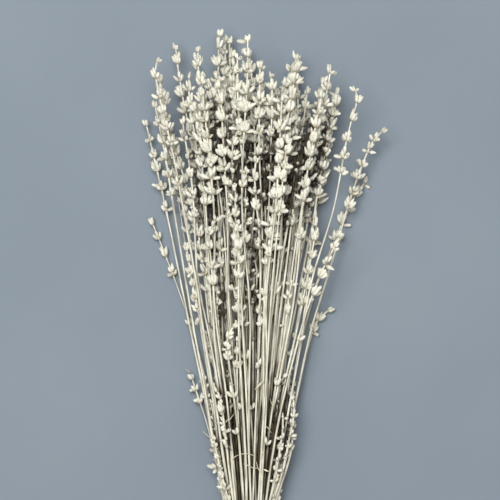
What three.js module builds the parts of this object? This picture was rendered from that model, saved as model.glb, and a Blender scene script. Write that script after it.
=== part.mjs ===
// A bunch of dried, bleached lavender lying on a table, held by a rubber band near its cut ends.
//
// Millimetres, +Z up. The stems run along +Y, from the cut ends to the flower heads, and X goes across.
// The group's origin is under the middle of the bunch, on the table.
//
// Each sprig is one grown piece: a stem that carries a spike of whorls. All the stems pass through the
// rubber band in a round bundle. From there they fan out, and the fan settles onto the table, so that
// the head of the bunch is a dome with a flat underside. A last step moves the sprigs apart wherever
// two of them would touch, so the neck and the head are as wide as what they hold.

import * as THREE from "three";

// ---- Driving dimensions ----

// Along the bunch, counted from the rubber band at y = 0.
const HEAD_REACH = 490; // to the tip of the tallest sprig, before it varies
const CUT_REACH = 65; // to the cut ends
const CUT_UNEVEN = 6; // how unevenly the ends are cut

// The fan.
const HEAD_SPREAD = 0.18; // gain in half width for each mm towards the heads
const HEAD_FLARE = 0.00007; // and the further gain as the fan opens, per mm squared
const HEAD_LIFT = 0.105; // gain in half thickness for each mm towards the heads
const CUT_SPLAY = 0.09; // gain in both, for each mm towards the cut ends
const TIE_BEND = 15; // length over which a stem bends in the rubber band
const SETTLE_START = 20; // where the fan starts to settle onto the table
const SETTLE_END = 260; // where its underside lies flat

// The main sprigs.
const MAIN_COUNT = 48;
const EDGE_SHORTENING = 0.16; // how much shorter a sprig at the edge is
const WANDER = 0.05; // how far a stem strays from its own line, as a share of the fan

// A stem.
const STEM_BUTT_RADIUS = 1.1; // at the cut end
const STEM_NECK_RADIUS = 0.8; // under the spike
const STEM_GAP = 0.9; // between neighbouring stems in the rubber band
const SPRIG_GAP = 0.4; // the least gap between two sprigs anywhere

// A whorl is a ring of calyces that opens towards the tip. Pitches grow down the spike.
const WHORL_RADIUS = 6.2; // of the fullest whorls
const WHORL_PITCH = 10.5; // between the two whorls nearest to the tip
const PITCH_GROWTH = 1.11; // each pitch against the one above it
const FLARE_PLACE = 0.66; // where in its pitch a whorl is widest
const GAP_DEPTH = 0.6; // radius between two calyces, as a share of the whorl's
const CORE_RADIUS = 1.3; // at the waists between whorls
const BUD_LENGTH = 7; // the single bud at the tip
const BUD_RADIUS = 1.5;

// The kinds of sprig. A main sprig's tip lies between lowest and highest, as shares of HEAD_REACH.
const TALL = { name: "tall", lowest: 0.88, highest: 1.0, whorls: 7, fullness: 1 };
const MIDDLE = { name: "middle", lowest: 0.66, highest: 0.84, whorls: 6, fullness: 0.92 };
const SHORT = { name: "short", lowest: 0.42, highest: 0.6, whorls: 4, fullness: 0.72 };

// The strays lean out of the fan. angle is the place in the rubber band, in degrees from +X towards +Z,
// reach is the tip's distance as a share of HEAD_REACH, and side is how far across the tip ends up, as
// a share of the fan's half width there.
const STRAYS = [
  { angle: 176, reach: 0.845, side: -0.99, kind: TALL },
  { angle: 158, reach: 0.875, side: -0.87, kind: TALL },
  { angle: 140, reach: 0.96, side: -0.79, kind: TALL },
  { angle: 212, reach: 0.66, side: -1.23, kind: MIDDLE },
  { angle: 194, reach: 0.37, side: -1.2, kind: SHORT },
  { angle: 30, reach: 0.91, side: 1.01, kind: TALL },
  { angle: 12, reach: 0.835, side: 1.26, kind: TALL },
  { angle: -30, reach: 0.74, side: 1.23, kind: MIDDLE },
  { angle: 48, reach: 0.635, side: 1.12, kind: MIDDLE },
  { angle: -10, reach: 0.5, side: 1.05, kind: SHORT },
  { angle: -90, reach: 0.8, side: 0.12, kind: MIDDLE },
];

// The rubber band: one loop, wound round the stems with its turns pressed side by side.
const BAND_TURNS = 3;
const BAND_THICKNESS = 1.6; // at the crown of a turn
const BAND_VALLEY = 1.1; // and where two turns meet
const BAND_STRAND_WIDTH = 2;
const BAND_CLEARANCE = 0.35; // to the outer stems

// Facets.
const SPRIG_SIDES = 6;
const BAND_FACETS = 30;
const STRAND_POINTS = 3; // along a strand's outside

// How the sprigs are moved apart.
const STATION_PITCH = 45; // between the places where a stem can bend
const LEVEL_PITCH = 3; // between the places where the gaps are measured
const SETTLING_ROUNDS = 300; // at most
const SETTLED_WITHIN = 0.02; // of SPRIG_GAP, where it stops

// ---- Shared values worked out from them ----

const STRAY_COUNT = STRAYS.length;
const BUNDLE_SHARE = Math.sqrt(MAIN_COUNT / (MAIN_COUNT + STRAY_COUNT)); // the main sprigs' part of it
const SEED_SPACING = 1.7; // between neighbours in a unit sunflower, times the root of their count
const STEM_PITCH = 2 * STEM_BUTT_RADIUS + STEM_GAP;
const NECK_RADIUS = (STEM_PITCH * Math.sqrt(MAIN_COUNT + STRAY_COUNT)) / SEED_SPACING;
const BAND_INNER = NECK_RADIUS + STEM_BUTT_RADIUS + BAND_CLEARANCE;
const NECK_HEIGHT = BAND_INNER + BAND_THICKNESS;
const BAND_WIDTH = BAND_TURNS * BAND_STRAND_WIDTH;
const NECK_CENTRE = new THREE.Vector2(0, NECK_HEIGHT); // across, and above the table
const GOLDEN_ANGLE = Math.PI * (3 - Math.sqrt(5));

const petal = new THREE.MeshStandardMaterial({ color: "#dcd9c8", roughness: 0.9, metalness: 0 });
const rubber = new THREE.MeshStandardMaterial({ color: "#b98d5c", roughness: 0.6, metalness: 0 });

// An even-looking spread of numbers from 0 to 1, the same on each run.
function vary(index, column) {
  const wave = Math.sin(index * 12.9898 + column * 78.233) * 43758.5453;
  return wave - Math.floor(wave);
}

// ---- The shape of the fan ----

// Distance from the rubber band, easing to a standstill inside it.
function eased(y) {
  return Math.hypot(y, TIE_BEND) - TIE_BEND;
}

function halfWidth(y) {
  const run = eased(y);
  return NECK_RADIUS + (y < 0 ? CUT_SPLAY * run : HEAD_SPREAD * run + HEAD_FLARE * run * run);
}

function halfThickness(y) {
  return NECK_RADIUS + (y < 0 ? CUT_SPLAY : HEAD_LIFT) * eased(y);
}

// The place across and above the table, at a distance y from the rubber band, of a stem that starts at
// the point (across, up) of the bundle's unit disc. The disc turns into a dome with a flat underside.
// sideways is the stem's place there as a share of the half width, and low is the room under its spike.
function placeInFan(y, { across, up, sideways, low }) {
  const flat = THREE.MathUtils.smoothstep(y, SETTLE_START, SETTLE_END);
  const drop = 1 - Math.sqrt(Math.max(0, 1 - across * across));
  const floor = THREE.MathUtils.lerp(NECK_HEIGHT - NECK_RADIUS, low, flat);
  return new THREE.Vector2(
    halfWidth(y) * sideways,
    floor + halfThickness(y) * (1 + up - flat * drop),
  );
}

// ---- A sprig's line and outline ----

function flareOf({ fullness }) {
  return fullness * WHORL_RADIUS;
}

// The rings of a spike from its tip down, as distances from the tip. A ring where calyces stand out has
// its whorl's number.
function spikeRings(kind) {
  const { whorls, fullness } = kind;
  const rings = [
    { below: (fullness * BUD_LENGTH) / 2, radius: fullness * BUD_RADIUS },
    { below: fullness * BUD_LENGTH, radius: CORE_RADIUS },
  ];
  let pitch = fullness * WHORL_PITCH;
  for (let whorl = 0; whorl < whorls; whorl++) {
    const above = rings.at(-1).below;
    rings.push({ below: above + (1 - FLARE_PLACE) * pitch, radius: flareOf(kind), whorl });
    rings.push({ below: above + pitch, radius: CORE_RADIUS });
    pitch *= PITCH_GROWTH;
  }
  rings.at(-1).radius = STEM_NECK_RADIUS;
  return rings;
}

// A sprig's centreline, which is straight between stations that all the sprigs share, and its outline.
class Sprig {
  constructor({ kind, cutEnd, tip, index, place }) {
    const rings = spikeRings(kind);
    Object.assign(this, { kind, cutEnd, tip, index, rings });
    this.spikeStart = tip - rings.at(-1).below;
    this.stations = [];
    this.first = Math.floor(cutEnd / STATION_PITCH);
    for (let k = this.first; k <= Math.ceil(tip / STATION_PITCH); k++) {
      this.stations.push(place(k * STATION_PITCH));
    }
  }

  // The station before y, and how far y is on the way to the next one.
  find(y) {
    const k = Math.min(Math.floor(y / STATION_PITCH) - this.first, this.stations.length - 2);
    return { k, part: y / STATION_PITCH - this.first - k };
  }

  at(y) {
    const { k, part } = this.find(y);
    return this.stations[k].clone().lerp(this.stations[k + 1], part);
  }

  // Moves the line at y, and less so towards the stations beyond the two next to it.
  push(y, move) {
    const { k, part } = this.find(y);
    const grip = part * part + (1 - part) * (1 - part);
    this.stations[k].addScaledVector(move, (1 - part) / grip);
    this.stations[k + 1].addScaledVector(move, part / grip);
  }

  // The radius of the room that it needs at y, or nothing where it has ended.
  room(y) {
    if (y < this.cutEnd - LEVEL_PITCH || y > this.tip + LEVEL_PITCH) {
      return undefined;
    }
    const inSpike = y > this.spikeStart - LEVEL_PITCH;
    return inSpike ? flareOf(this.kind) : STEM_BUTT_RADIUS;
  }

  // The rings from the cut end to the tip.
  outline() {
    const stem = [{ y: this.cutEnd, radius: STEM_BUTT_RADIUS }];
    for (let k = this.first + 1; k * STATION_PITCH < this.spikeStart - LEVEL_PITCH; k++) {
      const y = k * STATION_PITCH;
      const along = Math.max(0, y / this.spikeStart);
      stem.push({ y, radius: THREE.MathUtils.lerp(STEM_BUTT_RADIUS, STEM_NECK_RADIUS, along) });
    }
    const spike = this.rings.map(({ below, ...ring }) => ({ y: this.tip - below, ...ring }));
    return [...stem, ...spike.reverse()];
  }
}

// The main sprigs fill the bundle like the seeds of a sunflower. Short and middle ones are spread among
// the tall ones.
function mainSprigs() {
  return Array.from({ length: MAIN_COUNT }, (_, index) => {
    const kind = index % 5 === 2 ? SHORT : index % 5 === 0 || index % 5 === 3 ? MIDDLE : TALL;
    const fromCentre = BUNDLE_SHARE * Math.sqrt((index + 0.5) / MAIN_COUNT);
    const across = fromCentre * Math.cos(index * GOLDEN_ANGLE);
    const up = fromCentre * Math.sin(index * GOLDEN_ANGLE);
    const reach = THREE.MathUtils.lerp(kind.lowest, kind.highest, vary(index, 5));
    const tip = HEAD_REACH * reach * (1 - EDGE_SHORTENING * across * across);
    const place = (y) => {
      const out = Math.max(0, y / tip);
      const wanderAcross = WANDER * out * Math.sin(6 * out + 9 * vary(index, 1));
      const wanderUp = WANDER * out * Math.abs(Math.sin(5 * out + 9 * vary(index, 2)));
      const sideways = across + wanderAcross;
      return placeInFan(y, { across, up: up + wanderUp, sideways, low: flareOf(kind) });
    };
    return new Sprig({ kind, cutEnd: cutEndOf(index), tip, index, place });
  });
}

function straySprigs() {
  return STRAYS.map(({ angle, reach, side, kind }, number) => {
    const index = MAIN_COUNT + number;
    const across = Math.cos(THREE.MathUtils.degToRad(angle));
    const up = Math.sin(THREE.MathUtils.degToRad(angle));
    const tip = HEAD_REACH * reach;
    const place = (y) => {
      const out = Math.max(0, y / tip);
      const sideways = THREE.MathUtils.lerp(across, side, out ** 3);
      return placeInFan(y, { across, up, sideways, low: flareOf(kind) });
    };
    return new Sprig({ kind, cutEnd: cutEndOf(index), tip, index, place });
  });
}

function cutEndOf(index) {
  return -CUT_REACH + CUT_UNEVEN * vary(index, 4);
}

// Keeps a sprig above the table and, where it passes through the rubber band, inside that.
function hold(sprig, y) {
  const lift = sprig.room(y) - sprig.at(y).y;
  if (lift > 0) {
    sprig.push(y, new THREE.Vector2(0, lift));
  }
  const outwards = sprig.at(y).sub(NECK_CENTRE);
  const excess = outwards.length() - NECK_RADIUS;
  if (Math.abs(y) < BAND_WIDTH && excess > 0) {
    sprig.push(y, outwards.setLength(-excess));
  }
}

// Moves two sprigs apart to their rooms, and returns how far they lacked it.
function separate(one, other, y) {
  const apart = one.at(y).sub(other.at(y));
  const lack = one.room(y) + other.room(y) + SPRIG_GAP - apart.length();
  if (lack > 0) {
    one.push(y, apart.clone().setLength(lack / 2));
    other.push(y, apart.clone().setLength(-lack / 2));
  }
  return lack;
}

// Goes through the bunch from end to end, again and again, until each sprig has its room.
function settle(sprigs) {
  for (let round = 0; round < SETTLING_ROUNDS; round++) {
    let worst = 0;
    for (let y = -CUT_REACH; y <= HEAD_REACH; y += LEVEL_PITCH) {
      const here = sprigs.filter((sprig) => sprig.room(y) !== undefined);
      for (const [number, sprig] of here.entries()) {
        hold(sprig, y);
        for (const other of here.slice(number + 1)) {
          worst = Math.max(worst, separate(sprig, other, y));
        }
      }
    }
    if (worst < SETTLED_WITHIN) {
      return;
    }
  }
}

// ---- The meshes ----

// Lathes a sprig's outline about +Y and bends it onto its line. Every second corner of a flared ring is
// pulled in, which leaves calyces standing out between the gaps, half a calyx further round each time.
function sprigGeometry(sprig) {
  const outline = [
    { y: sprig.cutEnd, radius: 0 },
    ...sprig.outline(),
    { y: sprig.tip, radius: 0 },
  ];
  const profile = outline.map(({ y, radius }) => new THREE.Vector2(radius, y));
  const geometry = new THREE.LatheGeometry(profile, SPRIG_SIDES);
  const places = geometry.getAttribute("position");
  const turn = 2 * Math.PI * vary(sprig.index, 3);
  for (let i = 0; i < places.count; i++) {
    const { y, radius: outer, whorl } = outline[i % outline.length];
    const corner = Math.floor(i / outline.length) % SPRIG_SIDES;
    const inGap = whorl !== undefined && (corner + whorl) % 2 === 1;
    const radius = inGap ? GAP_DEPTH * outer : outer;
    const angle = turn + (2 * Math.PI * corner) / SPRIG_SIDES;
    const centre = sprig.at(y);
    places.setXYZ(i, centre.x + radius * Math.sin(angle), y, centre.y + radius * Math.cos(angle));
  }
  geometry.computeVertexNormals();
  return geometry;
}

function sprigMeshes(sprigs, nameOf) {
  const numbers = {};
  return sprigs.map((sprig) => {
    const name = nameOf(sprig);
    numbers[name] = (numbers[name] ?? 0) + 1;
    const mesh = new THREE.Mesh(sprigGeometry(sprig), petal);
    mesh.name = `${name}_sprig_${String(numbers[name]).padStart(2, "0")}`;
    return mesh;
  });
}

// A ring round the stems, whose outside shows the turns lying side by side.
function rubberBand() {
  const edge = BAND_WIDTH / 2;
  const profile = [new THREE.Vector2(BAND_INNER, -edge)];
  for (let point = 0; point <= BAND_TURNS * STRAND_POINTS; point++) {
    const turn = point / STRAND_POINTS;
    const crown = Math.abs(Math.sin(Math.PI * turn));
    const thickness = THREE.MathUtils.lerp(BAND_VALLEY, BAND_THICKNESS, crown);
    profile.push(new THREE.Vector2(BAND_INNER + thickness, turn * BAND_STRAND_WIDTH - edge));
  }
  profile.push(new THREE.Vector2(BAND_INNER, edge), profile[0].clone());
  const mesh = new THREE.Mesh(new THREE.LatheGeometry(profile, BAND_FACETS), rubber);
  mesh.name = "rubber_band";
  mesh.position.set(NECK_CENTRE.x, 0, NECK_CENTRE.y);
  return mesh;
}

// ---- The bunch ----

const mains = mainSprigs();
const strays = straySprigs();
settle([...mains, ...strays]);

const bunch = new THREE.Group();
bunch.add(
  ...sprigMeshes(mains, (sprig) => sprig.kind.name),
  ...sprigMeshes(strays, () => "stray"),
  rubberBand(),
);

const box = new THREE.Box3().setFromObject(bunch, true);
const middle = box.getCenter(new THREE.Vector3());
bunch.position.set(-middle.x, -middle.y, -box.min.z);

export default bunch;
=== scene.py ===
"""The looks of a lying bunch of dried, bleached lavender, held by a rubber band."""

from __future__ import annotations

import logging
import math
from dataclasses import dataclass, field
from enum import Enum

import bpy
import numpy as np
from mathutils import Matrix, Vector

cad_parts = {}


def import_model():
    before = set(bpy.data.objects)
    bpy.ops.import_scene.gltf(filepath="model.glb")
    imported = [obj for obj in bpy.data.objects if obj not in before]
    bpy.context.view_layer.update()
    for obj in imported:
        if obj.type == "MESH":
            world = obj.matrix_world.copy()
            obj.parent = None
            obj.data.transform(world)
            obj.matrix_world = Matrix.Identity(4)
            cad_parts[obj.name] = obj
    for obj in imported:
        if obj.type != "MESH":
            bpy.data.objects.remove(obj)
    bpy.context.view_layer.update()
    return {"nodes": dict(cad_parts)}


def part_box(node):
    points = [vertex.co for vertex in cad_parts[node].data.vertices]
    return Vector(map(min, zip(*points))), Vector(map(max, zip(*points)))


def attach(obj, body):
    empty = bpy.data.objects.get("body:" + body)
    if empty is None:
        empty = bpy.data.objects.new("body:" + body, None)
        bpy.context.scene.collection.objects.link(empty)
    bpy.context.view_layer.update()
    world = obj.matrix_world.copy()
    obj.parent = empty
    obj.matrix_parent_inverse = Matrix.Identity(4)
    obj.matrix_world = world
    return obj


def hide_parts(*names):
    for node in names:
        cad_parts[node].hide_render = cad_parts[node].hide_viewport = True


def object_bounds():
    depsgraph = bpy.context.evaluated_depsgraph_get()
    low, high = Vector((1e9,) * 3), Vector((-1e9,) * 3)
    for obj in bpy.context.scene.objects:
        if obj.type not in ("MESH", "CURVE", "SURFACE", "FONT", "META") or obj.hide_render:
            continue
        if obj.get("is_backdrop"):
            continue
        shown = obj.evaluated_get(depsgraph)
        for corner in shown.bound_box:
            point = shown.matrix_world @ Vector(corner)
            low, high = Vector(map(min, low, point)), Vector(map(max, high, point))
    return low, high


LOG = logging.getLogger("lavender")
MM = 0.001
ROOT = "root"
BAND_NODE = "rubber_band"
SIDE_MARK = (0.31, 0.17, 0.93)  # a way that no stem runs, to measure turns from
GRAIN_SPAN = 500.0  # how far apart the grain of two copies may start, in millimetres
FULL_TURN = 2 * math.pi
TABLE_GAP = 0.05  # the least height of anything above the table, in millimetres
ROOM_BELOW = (6, 5, 0)  # how far a bud may stand past the frame's box, in millimetres
ROOM_ABOVE = (6, 14, 6)
VIEW_REACH = 294  # from the tie to the middle of the view, in millimetres

Array = np.ndarray
Colour = tuple[float, float, float, float]
Span = tuple[float, float]


def screen_colour(red: float, green: float, blue: float) -> Colour:
    """Turns a paint-chart colour into the shader's linear colour.

    Args:
        red: Red from 0 to 255.
        green: Green from 0 to 255.
        blue: Blue from 0 to 255.

    Returns:
        The linear colour, with a full alpha.
    """
    parts = [value / 255 for value in (red, green, blue)]
    line = [v / 12.92 if v <= 0.04045 else ((v + 0.055) / 1.055) ** 2.4 for v in parts]
    return (line[0], line[1], line[2], 1.0)


def unit(vectors: Array) -> Array:
    """Scales vectors to a length of one."""
    return vectors / np.maximum(np.linalg.norm(vectors, axis=-1, keepdims=True), 1e-9)


def smooth_rise(values: Array, low: float, high: float) -> Array:
    """Runs from 0 at low to 1 at high, with soft ends."""
    t = np.clip((values - low) / (high - low), 0, 1)
    return t * t * (3 - 2 * t)


def round_way(way: Array, turn: Array) -> Array:
    """Finds the ways that stand out square from a stem.

    Args:
        way: The way that the stem runs.
        turn: The turn of each, in radians.

    Returns:
        One way out for each turn.
    """
    side = unit(np.cross(way, SIDE_MARK))
    front = np.cross(way, side)
    return np.cos(turn)[:, None] * side + np.sin(turn)[:, None] * front


def tube_faces(rings: int, sides: int) -> tuple[Array, Array]:
    """Lists the faces of a closed tube, whose two end points come after its rings.

    Args:
        rings: How many rings it has.
        sides: How many sides it has.

    Returns:
        The quads of its wall, and the triangles of its first and last end.
    """
    here = np.arange(sides)
    there = (here + 1) % sides
    rows = np.arange(rings - 1)[:, None] * sides
    corners = [rows + here, rows + there, rows + sides + there, rows + sides + here]
    quads = np.stack(corners, axis=-1).reshape(-1, 4)
    last = (rings - 1) * sides
    low = np.column_stack([there, here, np.full(sides, rings * sides)])
    high = np.column_stack([last + here, last + there, np.full(sides, rings * sides + 1)])
    return quads, np.vstack([low, high])


def new_object(name: str, mesh: bpy.types.Mesh, materials: list[bpy.types.Material]) -> bpy.types.Object:
    """Dresses a mesh and puts it in the scene.

    Args:
        name: The name of the object.
        mesh: Its mesh.
        materials: Its materials, in the order of their slots.

    Returns:
        The object.
    """
    for material in materials:
        mesh.materials.append(material)
    mesh.update()
    made = bpy.data.objects.new(name, mesh)
    bpy.context.scene.collection.objects.link(made)
    return made


# ---------------------------------------------------------------- shader effects


class Bench:
    """A node tree being wired up."""

    def __init__(self, tree: bpy.types.NodeTree) -> None:
        """Takes the tree to work on."""
        self.tree = tree

    def node(self, kind: str, inputs: dict | None = None, **settings: object) -> bpy.types.Node:
        """Adds a node.

        Args:
            kind: The node's type name.
            inputs: Values or sockets for its inputs, by name or number.
            settings: Values for the node's own properties.

        Returns:
            The node.
        """
        made = self.tree.nodes.new(kind)
        for key, value in settings.items():
            setattr(made, key, value)
        for key, value in (inputs or {}).items():
            self.feed(made.inputs[key], value)
        return made

    def feed(self, socket: bpy.types.NodeSocket, value: object) -> None:
        """Links a socket to another, or sets its value.

        Args:
            socket: The socket to feed.
            value: The socket to link it to, or its value.
        """
        if isinstance(value, bpy.types.NodeSocket):
            self.tree.links.new(value, socket)
        else:
            socket.default_value = value

    def attribute(self, name: str, output: str = "Fac") -> bpy.types.NodeSocket:
        """Reads a surface value kept on the mesh."""
        return self.node("ShaderNodeAttribute", attribute_name=name).outputs[output]

    def place(self) -> bpy.types.NodeSocket:
        """Reads the place on the piece, in metres."""
        return self.node("ShaderNodeTexCoord").outputs["Object"]

    def noise(self, place: object, scale: object, detail: float = 2.0) -> bpy.types.NodeSocket:
        """Makes a soft cloud that runs from 0 to 1."""
        return self.node("ShaderNodeTexNoise", {"Vector": place, "Scale": scale, "Detail": detail}).outputs[0]

    def group(self, tree: bpy.types.NodeTree, values: dict[str, object]) -> bpy.types.Node:
        """Places a shared effect with values of its own.

        Args:
            tree: The effect's node group.
            values: Its values, by input name.

        Returns:
            The placed group.
        """
        placed = self.node("ShaderNodeGroup", node_tree=tree)
        for label, value in values.items():
            placed.inputs[label].default_value = value
        return placed

    def bump(self, shader: bpy.types.Node, height: object, depth: float) -> None:
        """Raises the surface of a shader by a height."""
        made = self.node("ShaderNodeBump", {"Height": height, "Distance": depth})
        self.feed(shader.inputs["Normal"], made.outputs[0])

    def remap(
        self, value: object, low: object, high: object, to_low: float, to_high: float
    ) -> bpy.types.NodeSocket:
        """Maps a value from one range to another, with soft ends.

        Args:
            value: The socket to map.
            low: The start of its range.
            high: The end of its range.
            to_low: What the start becomes.
            to_high: What the end becomes.

        Returns:
            The mapped value.
        """
        limits = {1: low, 2: high, 3: to_low, 4: to_high}
        made = self.node("ShaderNodeMapRange", {0: value, **limits}, interpolation_type="SMOOTHSTEP")
        return made.outputs[0]

    def mix(self, factor: object, first: object, second: object, blend: str = "MIX") -> bpy.types.NodeSocket:
        """Mixes two colours.

        Args:
            factor: How much of the second to take.
            first: The first colour.
            second: The second colour.
            blend: How they mix.

        Returns:
            The mixed colour.
        """
        made = self.node("ShaderNodeMix", data_type="RGBA", blend_type=blend, clamp_factor=True)
        self.feed(made.inputs[0], factor)
        self.feed(made.inputs[6], first)
        self.feed(made.inputs[7], second)
        return made.outputs[2]

    def math(self, operation: str, first: object, second: object = 0.0) -> bpy.types.NodeSocket:
        """Works out one sum on values."""
        return self.node("ShaderNodeMath", {0: first, 1: second}, operation=operation).outputs[0]


def new_group(name: str, inputs: dict[str, tuple[str, object]], outputs: dict[str, str]) -> tuple:
    """Starts a node group.

    Args:
        name: The group's name.
        inputs: Socket type and first value, by input name.
        outputs: Socket type, by output name.

    Returns:
        The group, its bench, its input node and its output node.
    """
    group = bpy.data.node_groups.new(name, "ShaderNodeTree")
    for label, (kind, value) in inputs.items():
        socket = group.interface.new_socket(name=label, in_out="INPUT", socket_type=kind)
        socket.default_value = value
    for label, kind in outputs.items():
        group.interface.new_socket(name=label, in_out="OUTPUT", socket_type=kind)
    bench = Bench(group)
    return group, bench, bench.node("NodeGroupInput"), bench.node("NodeGroupOutput")


@dataclass
class Effects:
    """The shader effects that several finishes share."""

    fade_and_painted_shade: bpy.types.NodeTree = field(init=False)
    ribs: bpy.types.NodeTree = field(init=False)
    flecks: bpy.types.NodeTree = field(init=False)

    def __post_init__(self) -> None:
        """Builds each effect once."""
        self.fade_and_painted_shade = self._fade_and_painted_shade()
        self.ribs = self._ribs()
        self.flecks = self._flecks()

    def _fade_and_painted_shade(self) -> bpy.types.NodeTree:
        """Makes the tint of a dried plant: pale where open, brown at the foot (partly painted shade), and a
        dark painted shade deep inside the bunch.

        Returns:
            The node group.
        """
        group, bench, given, out = new_group(
            "Fade and painted shade",
            {
                "Pale": ("NodeSocketColor", (0.8, 0.78, 0.66, 1)),
                "Brown": ("NodeSocketColor", (0.3, 0.24, 0.14, 1)),
                "Painted Shade": ("NodeSocketColor", (0.05, 0.04, 0.03, 1)),
                "Foot Reach": ("NodeSocketFloat", 0.4),
                "Patch Scale": ("NodeSocketFloat", 120.0),
                "Patch Strength": ("NodeSocketFloat", 0.3),
                "Dark Below": ("NodeSocketFloat", 0.3),
                "Pale Above": ("NodeSocketFloat", 0.46),
            },
            {"Color": "NodeSocketColor", "Patches And Foot Shade": "NodeSocketFloat"},
        )
        cloud = bench.noise(bench.place(), given.outputs["Patch Scale"], 3.0)
        patch = bench.remap(cloud, 0.42, 0.66, 0.0, 1.0)
        patch = bench.math("MULTIPLY", patch, given.outputs["Patch Strength"])
        # Brown at the foot of each bud, bract and leaf: partly their own colour, partly painted shade where
        # they crowd together at the foot.
        foot = bench.remap(bench.attribute("along"), 0.0, given.outputs["Foot Reach"], 0.85, 0.0)
        patches_and_foot_shade = bench.math("MAXIMUM", patch, foot)
        tinted = bench.mix(patches_and_foot_shade, given.outputs["Pale"], given.outputs["Brown"])
        tone = bench.attribute("tone")
        shade = bench.remap(tone, 0.0, 1.0, 0.9, 1.03)
        level = bench.node("ShaderNodeCombineColor", {0: shade, 1: shade, 2: shade}).outputs[0]
        toned = bench.mix(1.0, tinted, level, "MULTIPLY")
        dark_below, pale_above = given.outputs["Dark Below"], given.outputs["Pale Above"]
        # Painted shade: the colour turns to the dark colour where the bunch's openness is low, deep inside it,
        # and stays pale where it is open.
        depth = bench.remap(bench.attribute("openness"), dark_below, pale_above, 1.0, 0.0)
        bench.feed(out.inputs["Color"], bench.mix(depth, toned, given.outputs["Painted Shade"]))
        bench.feed(out.inputs["Patches And Foot Shade"], patches_and_foot_shade)
        return group

    def _ribs(self) -> bpy.types.NodeTree:
        """Makes fine ribs that run along a stem, a bud or a leaf, with a mask of their grooves that the
        finishes use for painted shade.

        Returns:
            The node group.
        """
        group, bench, given, out = new_group(
            "Ribs",
            {"Across": ("NodeSocketFloat", 6.0), "Lengthwise": ("NodeSocketFloat", 0.2)},
            {"Height": "NodeSocketFloat", "Groove": "NodeSocketFloat"},
        )
        across, lengthwise = given.outputs["Across"], given.outputs["Lengthwise"]
        stretch = bench.node("ShaderNodeCombineXYZ", {0: across, 1: across, 2: lengthwise}).outputs[0]
        grain = bench.attribute("grain", "Vector")
        drawn = bench.node("ShaderNodeVectorMath", {0: grain, 1: stretch}, operation="MULTIPLY").outputs[0]
        noise = bench.noise(drawn, 1.0)
        bench.feed(out.inputs["Height"], noise)
        bench.feed(out.inputs["Groove"], bench.remap(noise, 0.34, 0.5, 1.0, 0.0))
        return group

    def _flecks(self) -> bpy.types.NodeTree:
        """Makes small dark flecks scattered over a skin.

        Returns:
            The node group.
        """
        group, bench, given, out = new_group(
            "Flecks",
            {"Scale": ("NodeSocketFloat", 900.0), "Amount": ("NodeSocketFloat", 0.3)},
            {"Mask": "NodeSocketFloat"},
        )
        place = bench.place()
        cells = bench.node("ShaderNodeTexVoronoi", {"Vector": place, "Scale": given.outputs["Scale"]})
        dots = bench.remap(cells.outputs["Distance"], 0.1, 0.3, 1.0, 0.0)
        cloud = bench.noise(place, 260.0)
        where = bench.remap(cloud, 0.5, 0.62, 0.0, 1.0)
        mask = bench.math("MULTIPLY", bench.math("MULTIPLY", dots, where), given.outputs["Amount"])
        bench.feed(out.inputs["Mask"], mask)
        return group


def new_material(name: str) -> tuple[bpy.types.Material, Bench, bpy.types.Node]:
    """Starts a material.

    Args:
        name: The material's name.

    Returns:
        The material, its bench and its Principled shader.
    """
    material = bpy.data.materials.new(name)
    material.use_nodes = True
    bench = Bench(material.node_tree)
    return material, bench, material.node_tree.nodes["Principled BSDF"]


@dataclass(frozen=True)
class PlantFinish:
    """One skin of the dried plant.

    The colours are pale where the bunch is open, brown in random patches, brown at its foot (partly its own
    colour, partly painted shade), brown in its rib grooves as painted shade, and a dark painted shade deep
    inside the bunch. Dark flecks take the same dark colour.
    """

    name: str
    pale: Colour
    brown: Colour
    shade_and_fleck_colour: Colour
    foot_reach: float
    patch_scale: float = 120.0
    patch_strength: float = 0.3
    # dark_below and pale_above: the openness under which the painted shade is full, and above which there is
    # none.
    dark_below: float = 0.3
    pale_above: float = 0.46
    rib_across: float = 3.0
    rib_lengthwise: float = 0.12
    rib_depth: float = 0.00015
    groove_shade: float = 0.35
    fleck_amount: float = 0.5
    smooth: float = 0.62
    rough: float = 0.9
    sheen: float = 0.0

    def make(self, effects: Effects) -> bpy.types.Material:
        """Builds the material.

        Args:
            effects: The shared shader effects.

        Returns:
            The material.
        """
        material, bench, shader = new_material(self.name)
        fade_and_painted_shade = bench.group(
            effects.fade_and_painted_shade,
            {
                "Pale": self.pale,
                "Brown": self.brown,
                "Painted Shade": self.shade_and_fleck_colour,
                "Foot Reach": self.foot_reach,
                "Patch Scale": self.patch_scale,
                "Patch Strength": self.patch_strength,
                "Dark Below": self.dark_below,
                "Pale Above": self.pale_above,
            },
        )
        ribs = bench.group(effects.ribs, {"Across": self.rib_across, "Lengthwise": self.rib_lengthwise})
        flecks = bench.group(effects.flecks, {"Amount": self.fleck_amount})
        # Painted shade in the grooves: where the ribs are low, the colour turns towards the brown.
        groove = bench.math("MULTIPLY", ribs.outputs["Groove"], self.groove_shade)
        grooved = bench.mix(groove, fade_and_painted_shade.outputs["Color"], self.brown)
        bench.feed(shader.inputs["Base Color"], bench.mix(flecks.outputs["Mask"], grooved, self.shade_and_fleck_colour))
        rough = bench.remap(fade_and_painted_shade.outputs["Patches And Foot Shade"], 0.0, 0.8, self.smooth, self.rough)
        bench.feed(shader.inputs["Roughness"], rough)
        shader.inputs["Specular IOR Level"].default_value = 0.3
        shader.inputs["Sheen Weight"].default_value = self.sheen
        bench.bump(shader, ribs.outputs["Height"], self.rib_depth)
        return material


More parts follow.
